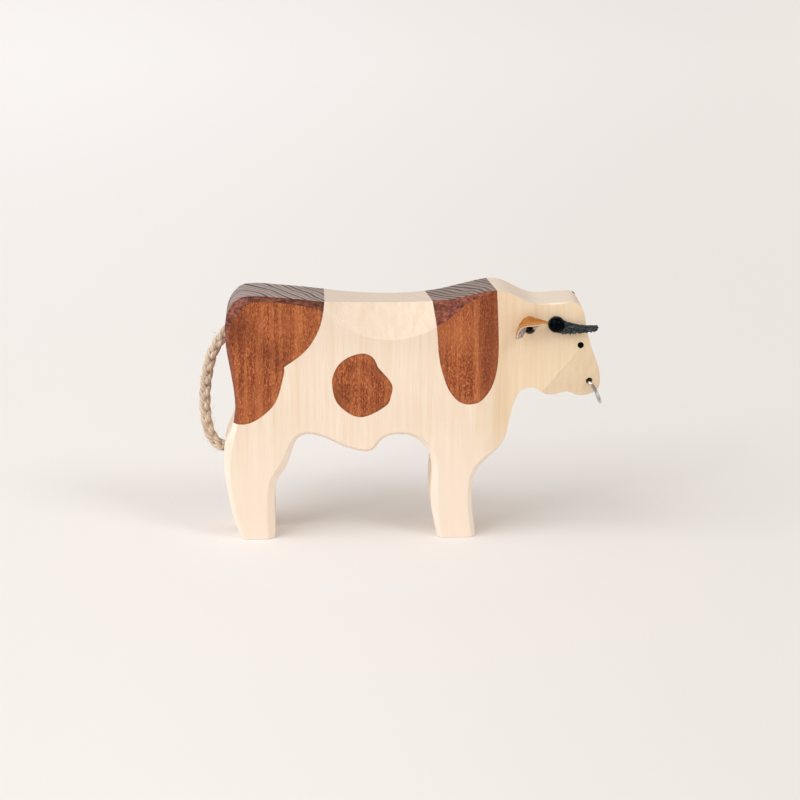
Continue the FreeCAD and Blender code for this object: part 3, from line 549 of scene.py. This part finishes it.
# Small slivers of the flat sides, in metres, are shaded smooth with the edge that they touch.
SLIVER_AREA, SLIVER_LENGTH = 2e-7, 0.004
for edge in form.edges:
    if len(edge.link_faces) != 2:
        continue
    flats = min(abs(face.normal.y) for face in edge.link_faces) > 0.5
    corner_angle = edge.calc_face_angle()
    edge.smooth = corner_angle < math.radians(2.0 if flats else 17.0)
    if corner_angle < math.radians(30):
        continue
    edge.smooth = True
    middle = (edge.verts[0].co + edge.verts[1].co) * 500.0
    sides = sum(abs(face.normal.y) > 0.9 for face in edge.link_faces)
    on_head = middle.x > HEAD_FROM and middle.z > HEAD_ABOVE
    width = ARRIS
    if any(math.hypot(middle.x - x, middle.z - z) < RIM_REACH
           for x, z in (EAR_HOLE, PIN_HOLE, EYE_SOCKET, RING_HOLE)):
        width = HOLE_RIM
    elif on_head and sides == 1 and corner_angle > math.radians(60):
        width = HEAD_CHAMFER
    edge[weights] = width / HEAD_CHAMFER
for face in form.faces:
    sliver = face.calc_area() < SLIVER_AREA and face.calc_perimeter() < SLIVER_LENGTH
    face.smooth = abs(face.normal.y) < 0.5 or sliver
form.to_mesh(carved.data)
form.free()
carved.data.materials.append(wood)
arris = carved.modifiers.new("arris", "BEVEL")
arris.limit_method = "WEIGHT"
arris.width = HEAD_CHAMFER / 1000.0
arris.segments = 3
arris.use_clamp_overlap = False
arris.loop_slide = False
# Folds show best with hardened normals; the finished edges are shaded by their faces' weight.
arris.harden_normals = True
eased(carved, 12)
arris.harden_normals = False
carved.modifiers.new("even_shading", "WEIGHTED_NORMAL").keep_sharp = True
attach(carved, "bull")
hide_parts("wooden_body")


# Eyes: one heavy drop of glossy black paint in each shallow socket, a little longer than wide
# where the paint sagged before it dried.
lacquer, tree, shader = new_material("black_gloss_paint", Base_Color=(0.0008, 0.0018, 0.0030, 1.0),
                                     Specular_IOR_Level=0.03)
ripple = noisy(tree, millimetres(tree), 1.1, 2.0)
tree.links.new(ramp(tree, ripple, (0.3, 0.05), (0.7, 0.09)), shader.inputs["Roughness"])
bumped(tree, shader, ripple, 0.1, 0.0003)
# In metres: the drop's own sizes, and how far out the flat cheeks lie.
EYE_RADIUS, EYE_RISE, EYE_SINK, EYE_SAG, CHEEK = 0.00117, 0.00038, 0.0004, 0.05, 0.011
EYE_RINGS, EYE_SIDES, EYE_DOME = 8, 40, 2.2
eye_centre = Vector((EYE_SOCKET[0], 0.0, EYE_SOCKET[1])) / 1000.0
form = bmesh.new()
for side in (-1, 1):
    rings_made = []
    for i in range(1, EYE_RINGS + 1):
        share = i / EYE_RINGS
        height = EYE_RISE * (1.0 - share ** EYE_DOME) if i < EYE_RINGS else -EYE_SINK
        circle = []
        for k in range(EYE_SIDES):
            turn = math.tau * k / EYE_SIDES
            wide = EYE_RADIUS * share * (1.0 + EYE_SAG * max(0.0, -math.sin(turn)))
            place = Vector((wide * math.cos(turn), side * (CHEEK + height), wide * math.sin(turn)))
            circle.append(form.verts.new(eye_centre + place))
        rings_made.append(circle)
    top = form.verts.new(eye_centre + Vector((0.0, side * (CHEEK + EYE_RISE), 0.0)))
    for k in range(EYE_SIDES):
        following = (k + 1) % EYE_SIDES
        form.faces.new((top, rings_made[0][k], rings_made[0][following]))
        for inner, outer in zip(rings_made, rings_made[1:]):
            form.faces.new((inner[k], outer[k], outer[following], inner[following]))
    form.faces.new(rings_made[-1])
bmesh.ops.recalc_face_normals(form, faces=form.faces)
eyes_mesh = bpy.data.meshes.new("painted_eyes")
form.to_mesh(eyes_mesh)
form.free()
eyes_mesh.shade_smooth()
eyes_mesh.materials.append(lacquer)
eyes = bpy.data.objects.new("painted_eyes", eyes_mesh)
scene.collection.objects.link(eyes)
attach(eyes, "bull")


# Ears: one strip of vegetable-tanned leather, pulled through the hole in the head. Its smooth
# grain side is outside, the pale fluffy flesh side inside, and its cut edges are raw.
def leather_form(name, node, voxel, swell, swell_scale, material, smoothings=3):
    """A solid's shape in even fine faces, rounded and made a little uneven like cut leather."""
    made, form = merged_copy(name, node)
    form.to_mesh(made.data)
    form.free()
    for kind, settings in (("REMESH", {"mode": "VOXEL", "voxel_size": voxel}),
                           ("SMOOTH", {"factor": 0.5, "iterations": smoothings})):
        modifier = made.modifiers.new(kind.lower(), kind)
        for setting, value in settings.items():
            setattr(modifier, setting, value)
    shown = made.evaluated_get(bpy.context.evaluated_depsgraph_get())
    mesh = bpy.data.meshes.new_from_object(shown)
    made.modifiers.clear()
    made.data = mesh
    places = [vertex.co.copy() for vertex in mesh.vertices]
    outward = [normal.vector.copy() for normal in mesh.vertex_normals]
    moved = []
    for point, normal in zip(places, outward):
        lift = noise.noise(point * swell_scale) + 0.5 * noise.noise(point * swell_scale * 2.7)
        moved.extend(point + normal * swell * lift)
    mesh.vertices.foreach_set("co", moved)
    mesh.update()
    mesh.shade_smooth()
    mesh.materials.clear()
    mesh.materials.append(material)
    return made


tan, tree, shader = new_material("tan_leather", Specular_IOR_Level=0.2)
place = millimetres(tree)
flesh_side = add(tree, "ShaderNodeAttribute", attribute_name="flesh_side").outputs["Fac"]
cut_edge = add(tree, "ShaderNodeAttribute", attribute_name="cut_edge").outputs["Fac"]
pores = noisy(tree, place, 3.2, 6.0, 0.7)
creases = noisy(tree, mapped(tree, place, (0.35, 1.6, 0.5)), 1.0, 4.0)
flesh = noisy(tree, mapped(tree, place, (2.2, 0.7, 1.2)), 1.0, 5.0, 0.75)
grain = ramp(tree, pores, (0.34, (0.23, 0.062, 0.010)), (0.50, (0.41, 0.135, 0.024)),
             (0.68, (0.62, 0.26, 0.055)))
grain = blend(tree, ramp(tree, creases, (0.35, 0.45), (0.5, 0.0)), grain, (0.27, 0.075, 0.018))
pulp = ramp(tree, flesh, (0.36, (0.22, 0.135, 0.115)), (0.50, (0.50, 0.39, 0.36)),
            (0.64, (0.84, 0.76, 0.73)))
side_way = calc(tree, "ABSOLUTE", add(tree, "ShaderNodeSeparateXYZ", {"Vector": place}).outputs["Y"])
WORN_RIM_Y, ROOT_SHADE_Y = (15.9, 16.9), (10.6, 11.6)
worn_rim = calc(tree, "MULTIPLY", soft_step(tree, side_way, *WORN_RIM_Y), 0.35)
grain = blend(tree, worn_rim, grain, (0.66, 0.30, 0.055))
hide = blend(tree, flesh_side, grain, pulp)
# Painted shade: the strip is painted nearly black where it goes into the hole in the head.
hide = blend(tree, fade(tree, side_way, *ROOT_SHADE_Y), hide, (0.045, 0.026, 0.018))
hide = blend(tree, cut_edge, hide, blend(tree, pores, (0.62, 0.42, 0.24), (0.88, 0.74, 0.54)))
tree.links.new(hide, shader.inputs["Base Color"])
tree.links.new(blend(tree, flesh_side, (0.5, 0.5, 0.5), (0.95, 0.95, 0.95)), shader.inputs["Roughness"])
bumped(tree, shader, blend(tree, flesh_side, pores, flesh), 0.5, 0.0003)

ears = leather_form("leather_ears", "ear_strap", 0.00016, 0.00006, 900.0, tan)
flesh_layer = ears.data.attributes.new("flesh_side", "FLOAT", "POINT")
edge_layer = ears.data.attributes.new("cut_edge", "FLOAT", "POINT")
# How far each free end is bent out of its arc, as (angle, millimetres) at two depths, and how far
# its rear corner is pulled forward and down, as (depth, along, down).
MIDDLE_BEND = [(0, 0.0), (45, 0.3), (60, -0.5), (80, -0.8), (99, 0.1), (113, 0.0), (125, -0.4),
               (141, -0.9), (165, 0.0)]
TIP_BEND = [(0, 0.0), (47, 0.0), (69, -0.9), (95, -0.5), (116, 0.3), (133, 0.9), (149, 1.1), (180, 0.7)]
CORNER_PULL = [(10.6, 0.0, 0.0), (11.2, 1.2, -0.4), (12.3, 2.1, -0.8), (14.3, 2.0, -1.2),
               (16.0, 0.7, -0.5), (17.2, 0.0, 0.0)]


def between(table, at, column=1):
    """A value read from a table of steps."""
    for low, high in zip(table, table[1:]):
        if low[0] <= at <= high[0]:
            return low[column] + (high[column] - low[column]) * (at - low[0]) / (high[0] - low[0])
    return table[-1][column] if at > table[-1][0] else table[0][column]


def clamped(value):
    """A value kept between 0 and 1."""
    return min(1.0, max(0.0, value))


# In millimetres: how far out the ears leave the cheeks, where their bends and their cut ends start
# and how long they are, and the middles of the fold, of the bent arc and of the free end's edge.
EAR_ROOT, BEND_FROM, TIP_FROM, CUT_FROM = 10.6, 11.3, 14.3, 15.5
BEND_LENGTH, TIP_LENGTH, SKIN_DEPTH, SKIN_SOFTNESS, END_FACING = 2.2, 2.7, 0.35, 0.2, 0.75
REAR_CORNER, REAR_SPAN = 135.0, 35.0
hole = Vector(EAR_HOLE)
FOLD_MIDDLE, ARC_MIDDLE = hole + Vector((0.0, -1.0)), hole + Vector((0.5, -2.5))
TIP_MIDDLE, TIP_RADIUS = hole + Vector((3.02, -4.74)), 8.52
bent = []
outward = [normal.vector.copy() for normal in ears.data.vertex_normals]
for i, (vertex, normal) in enumerate(zip(ears.data.vertices, outward)):
    point = vertex.co * 1000.0
    flat = Vector((point.x, point.z))
    out = (flat - FOLD_MIDDLE).normalized()
    facing_out = normal.x * out.x + normal.z * out.y
    reach = abs(point.y)
    on_end = clamped((abs(normal.y) - END_FACING) / (1.0 - END_FACING)) if reach > CUT_FROM else 0.0
    depth = TIP_RADIUS - (flat - TIP_MIDDLE).length
    flesh_layer.data[i].value = clamped(0.5 - facing_out * 3.0)
    edge_layer.data[i].value = on_end * clamped((depth - SKIN_DEPTH) / SKIN_SOFTNESS)
    if reach > EAR_ROOT:
        ray = flat - ARC_MIDDLE
        angle = math.degrees(math.atan2(ray.y, ray.x)) % 360.0
        angle = angle if angle < 270.0 else 0.0
        share = clamped((reach - TIP_FROM) / TIP_LENGTH)
        bend = between(MIDDLE_BEND, angle) * (1.0 - share) + between(TIP_BEND, angle) * share
        pull = Vector((between(CORNER_PULL, reach, 1), between(CORNER_PULL, reach, 2)))
        shift = ray.normalized() * bend * clamped((reach - BEND_FROM) / BEND_LENGTH)
        shift += pull * clamped((angle - REAR_CORNER) / REAR_SPAN)
        point += Vector((shift.x, 0.0, shift.y))
    bent.extend(point / 1000.0)
ears.data.vertices.foreach_set("co", bent)
ears.data.update()
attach(ears, "bull")
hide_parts("ear_strap")


# Horns: thick strips of black suede-like leather, each turning stiffly about its pin. They were
# cut with a knife, so the lower edges are ragged with grey fibres.
black, tree, shader = new_material("black_leather", Roughness=0.9, Specular_IOR_Level=0.15)
nap = noisy(tree, mapped(tree, millimetres(tree), (0.35, 1.2, 1.5)), 1.5, 6.0, 0.85)
tree.links.new(ramp(tree, nap, (0.40, (0.003, 0.005, 0.006)), (0.50, (0.022, 0.029, 0.033)),
                    (0.60, (0.115, 0.135, 0.14))), shader.inputs["Base Color"])
bumped(tree, shader, nap, 0.8, 0.0004)
# The ragged edge starts clear of the pin's head and leaves the smooth flat sides alone.
PIN_CLEAR, RAG_STARTS_OVER, FLAT_FACING = 3.2, 0.8, 0.8
NAP_RISE, RAG_RISE = 0.00008, 0.00072
for side in ("right", "left"):
    horn = leather_form(side + "_leather_horn", side + "_horn", 0.00012, 0.00010, 1500.0, black, 1)
    ragged = []
    outward = [normal.vector.copy() for normal in horn.data.vertex_normals]
    for vertex, normal in zip(horn.data.vertices, outward):
        point = vertex.co.copy()
        if abs(normal.y) < FLAT_FACING:
            from_pin = (Vector((point.x, point.z)) * 1000.0 - Vector(PIN_HOLE)).length
            low = clamped(-normal.z * 2.0) * clamped((from_pin - PIN_CLEAR) / RAG_STARTS_OVER)
            tooth = noise.noise(Vector((point.x * 1700.0, point.y * 900.0, point.z * 350.0)))
            tooth += 0.5 * noise.noise(point * 3500.0)
            point += normal * (NAP_RISE + RAG_RISE * low) * tooth
        ragged.extend(point)
    horn.data.vertices.foreach_set("co", ragged)
    horn.data.update()
    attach(horn, side + "_horn")
    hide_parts(side + "_horn")


# Pins: dome-headed black nails that hold the horns to the head. Their heads have the same gloss
# as the painted eyes.
for side in ("right", "left"):
    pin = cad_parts[side + "_horn_pin"]
    pin.data.materials.clear()
    pin.data.materials.append(lacquer)


# Nose ring: drawn steel wire bent by hand, hanging loose in the cross hole of the snout. It leans
# forward on the lips, and its sides bow a little.
steel, tree, shader = new_material("ring_wire", Metallic=1.0)
scratches = noisy(tree, mapped(tree, millimetres(tree), (0.5, 1.2, 0.15)), 1.0, 2.0)
# The wire's colour runs from dark to light grey: partly the steel's own scratches, partly painted
# reflection, standing in for the dark and bright things that a bent wire mirrors.
steel_and_reflections = ramp(tree, scratches, (0.38, (0.36, 0.35, 0.34)), (0.50, (0.58, 0.57, 0.55)),
                  (0.62, (0.80, 0.79, 0.77)))
tree.links.new(steel_and_reflections, shader.inputs["Base Color"])
tree.links.new(ramp(tree, scratches, (0.3, 0.10), (0.7, 0.24)), shader.inputs["Roughness"])
bumped(tree, shader, scratches, 0.1, 0.0002)
# In millimetres, with the ring's seat in the cross hole as (x, z).
RING_WIDE, RING_BEND, RING_SIDE, RING_INSET, RING_WIRE = 8.8, 0.9, 0.7, 4.2, 1.3
RING_SEAT, RING_LEAN, RING_BOW = (64.98, 57.59), math.radians(28.0), 0.65
straight, shoulder_drop = RING_WIDE - RING_BEND, RING_BEND + RING_SIDE
half = [(RING_INSET, 0.0), (straight, 0.0)]
for turn in (math.radians(degrees) for degrees in range(10, 91, 10)):
    half.append((straight + RING_BEND * math.sin(turn), RING_BEND * math.cos(turn) - RING_BEND))
half.append((RING_WIDE, -RING_BEND - RING_SIDE / 2.0))
for turn in (math.radians(degrees) for degrees in range(0, 90, 4)):
    half.append((RING_WIDE * math.cos(turn), -shoulder_drop - RING_WIDE * math.sin(turn)))
ring_drop = shoulder_drop + RING_WIDE
ring_points = half + [(0.0, -ring_drop)] + [(-y, z) for y, z in reversed(half)]
ring_curve = bpy.data.curves.new("ring_line", "CURVE")
ring_curve.dimensions = "3D"
ring_curve.bevel_depth = RING_WIRE / 2000.0
ring_curve.bevel_resolution = 6
ring_curve.use_fill_caps = True
ring_spline = ring_curve.splines.new("POLY")
ring_spline.points.add(len(ring_points) - 1)
lean_x, lean_z = math.sin(RING_LEAN), math.cos(RING_LEAN)
for point, (y, z) in zip(ring_spline.points, ring_points):
    bow = RING_BOW * math.sin(math.pi * min(1.0, -z / ring_drop) ** 0.7)
    point.co = ((RING_SEAT[0] - lean_x * z + lean_z * bow) / 1000.0, y / 1000.0,
                (RING_SEAT[1] + lean_z * z + lean_x * bow) / 1000.0, 1.0)
ring_line = bpy.data.objects.new("ring_line", ring_curve)
scene.collection.objects.link(ring_line)
wire_ring = bpy.data.objects.new("bowed_ring", bpy.data.meshes.new_from_object(ring_line))
bpy.data.objects.remove(ring_line)
scene.collection.objects.link(wire_ring)
wire_ring.data.shade_smooth()
wire_ring.data.materials.clear()
wire_ring.data.materials.append(steel)
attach(wire_ring, "nose_ring")
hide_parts("nose_ring")


# Studio: a plain pale table top that keeps the shadows, one broad soft light high in front on the
# left, a weaker one on the right, a small one for the glints and an even pale surround.
paper, tree, shader = new_material("pale_table", Roughness=0.9)
# Painted light falloff: the table is painted darker from the picture's left to its right and paler into
# the distance, in metres.
LENS_BACK, NEAREST, DEPTH, PICTURE_WIDE = 1.0, -0.6, (0.1, 1.6), (-0.16, 0.16)
table_place = add(tree, "ShaderNodeTexCoord").outputs["Object"]
where = add(tree, "ShaderNodeSeparateXYZ", {"Vector": table_place}).outputs
ahead = calc(tree, "ADD", calc(tree, "MAXIMUM", where["Y"], NEAREST), LENS_BACK)
across = soft_step(tree, calc(tree, "DIVIDE", where["X"], ahead), *PICTURE_WIDE)
near_painted_light = blend(tree, across, (0.872, 0.841, 0.823), (0.783, 0.753, 0.735))
far_painted_light = blend(tree, across, (0.995, 0.98, 0.985), (0.872, 0.842, 0.825))
painted_light_falloff = blend(tree, soft_step(tree, where["Y"], *DEPTH), near_painted_light, far_painted_light)
tree.links.new(painted_light_falloff, shader.inputs["Base Color"])
bpy.ops.mesh.primitive_plane_add(size=12.0)
table_top = bpy.context.object
table_top.name = "table_top"
table_top.data.materials.append(paper)
world = bpy.data.worlds.new("surround")
world.use_nodes = True
tree = world.node_tree
direction = add(tree, "ShaderNodeTexCoord").outputs["Generated"]
sideways = add(tree, "ShaderNodeSeparateXYZ", {"Vector": direction}).outputs["X"]
shade = add(tree, "ShaderNodeMapRange", {"Value": sideways, "From Min": -1.0, "From Max": 1.0,
                                         "To Min": 0.65, "To Max": 0.51}).outputs[0]
seen = add(tree, "ShaderNodeLightPath").outputs["Is Camera Ray"]
light = tree.nodes["Background"]
light.inputs["Color"].default_value = (1.0, 0.940, 0.870, 1.0)
tree.links.new(blend(tree, seen, shade, (0.9, 0.9, 0.9)), light.inputs["Strength"])
scene.world = world
COOL, PLAIN = (0.965, 1.0, 1.045), (1.0, 1.0, 1.0)
for name, kind, place, strength, width, colour in (
        ("key", "SUN", (-3.0, -1.9, 3.55), 1.62, math.radians(58.0), COOL),
        ("fill", "AREA", (1.6, -1.4, 2.0), 16.0, 1.0, PLAIN),
        ("glint", "AREA", (-1.1, -1.5, 1.3), 2.0, 0.05, PLAIN)):
    lamp_data = bpy.data.lights.new(name, kind)
    lamp_data.energy = strength
    lamp_data.color = colour
    setattr(lamp_data, "angle" if kind == "SUN" else "size", width)
    lamp = bpy.data.objects.new(name, lamp_data)
    lamp.location = place
    aim = Vector((0.0, 0.0, 0.05)) - lamp.location
    lamp.rotation_euler = aim.to_track_quat("-Z", "Y").to_euler()
    scene.collection.objects.link(lamp)
scene.view_settings.view_transform = "Standard"
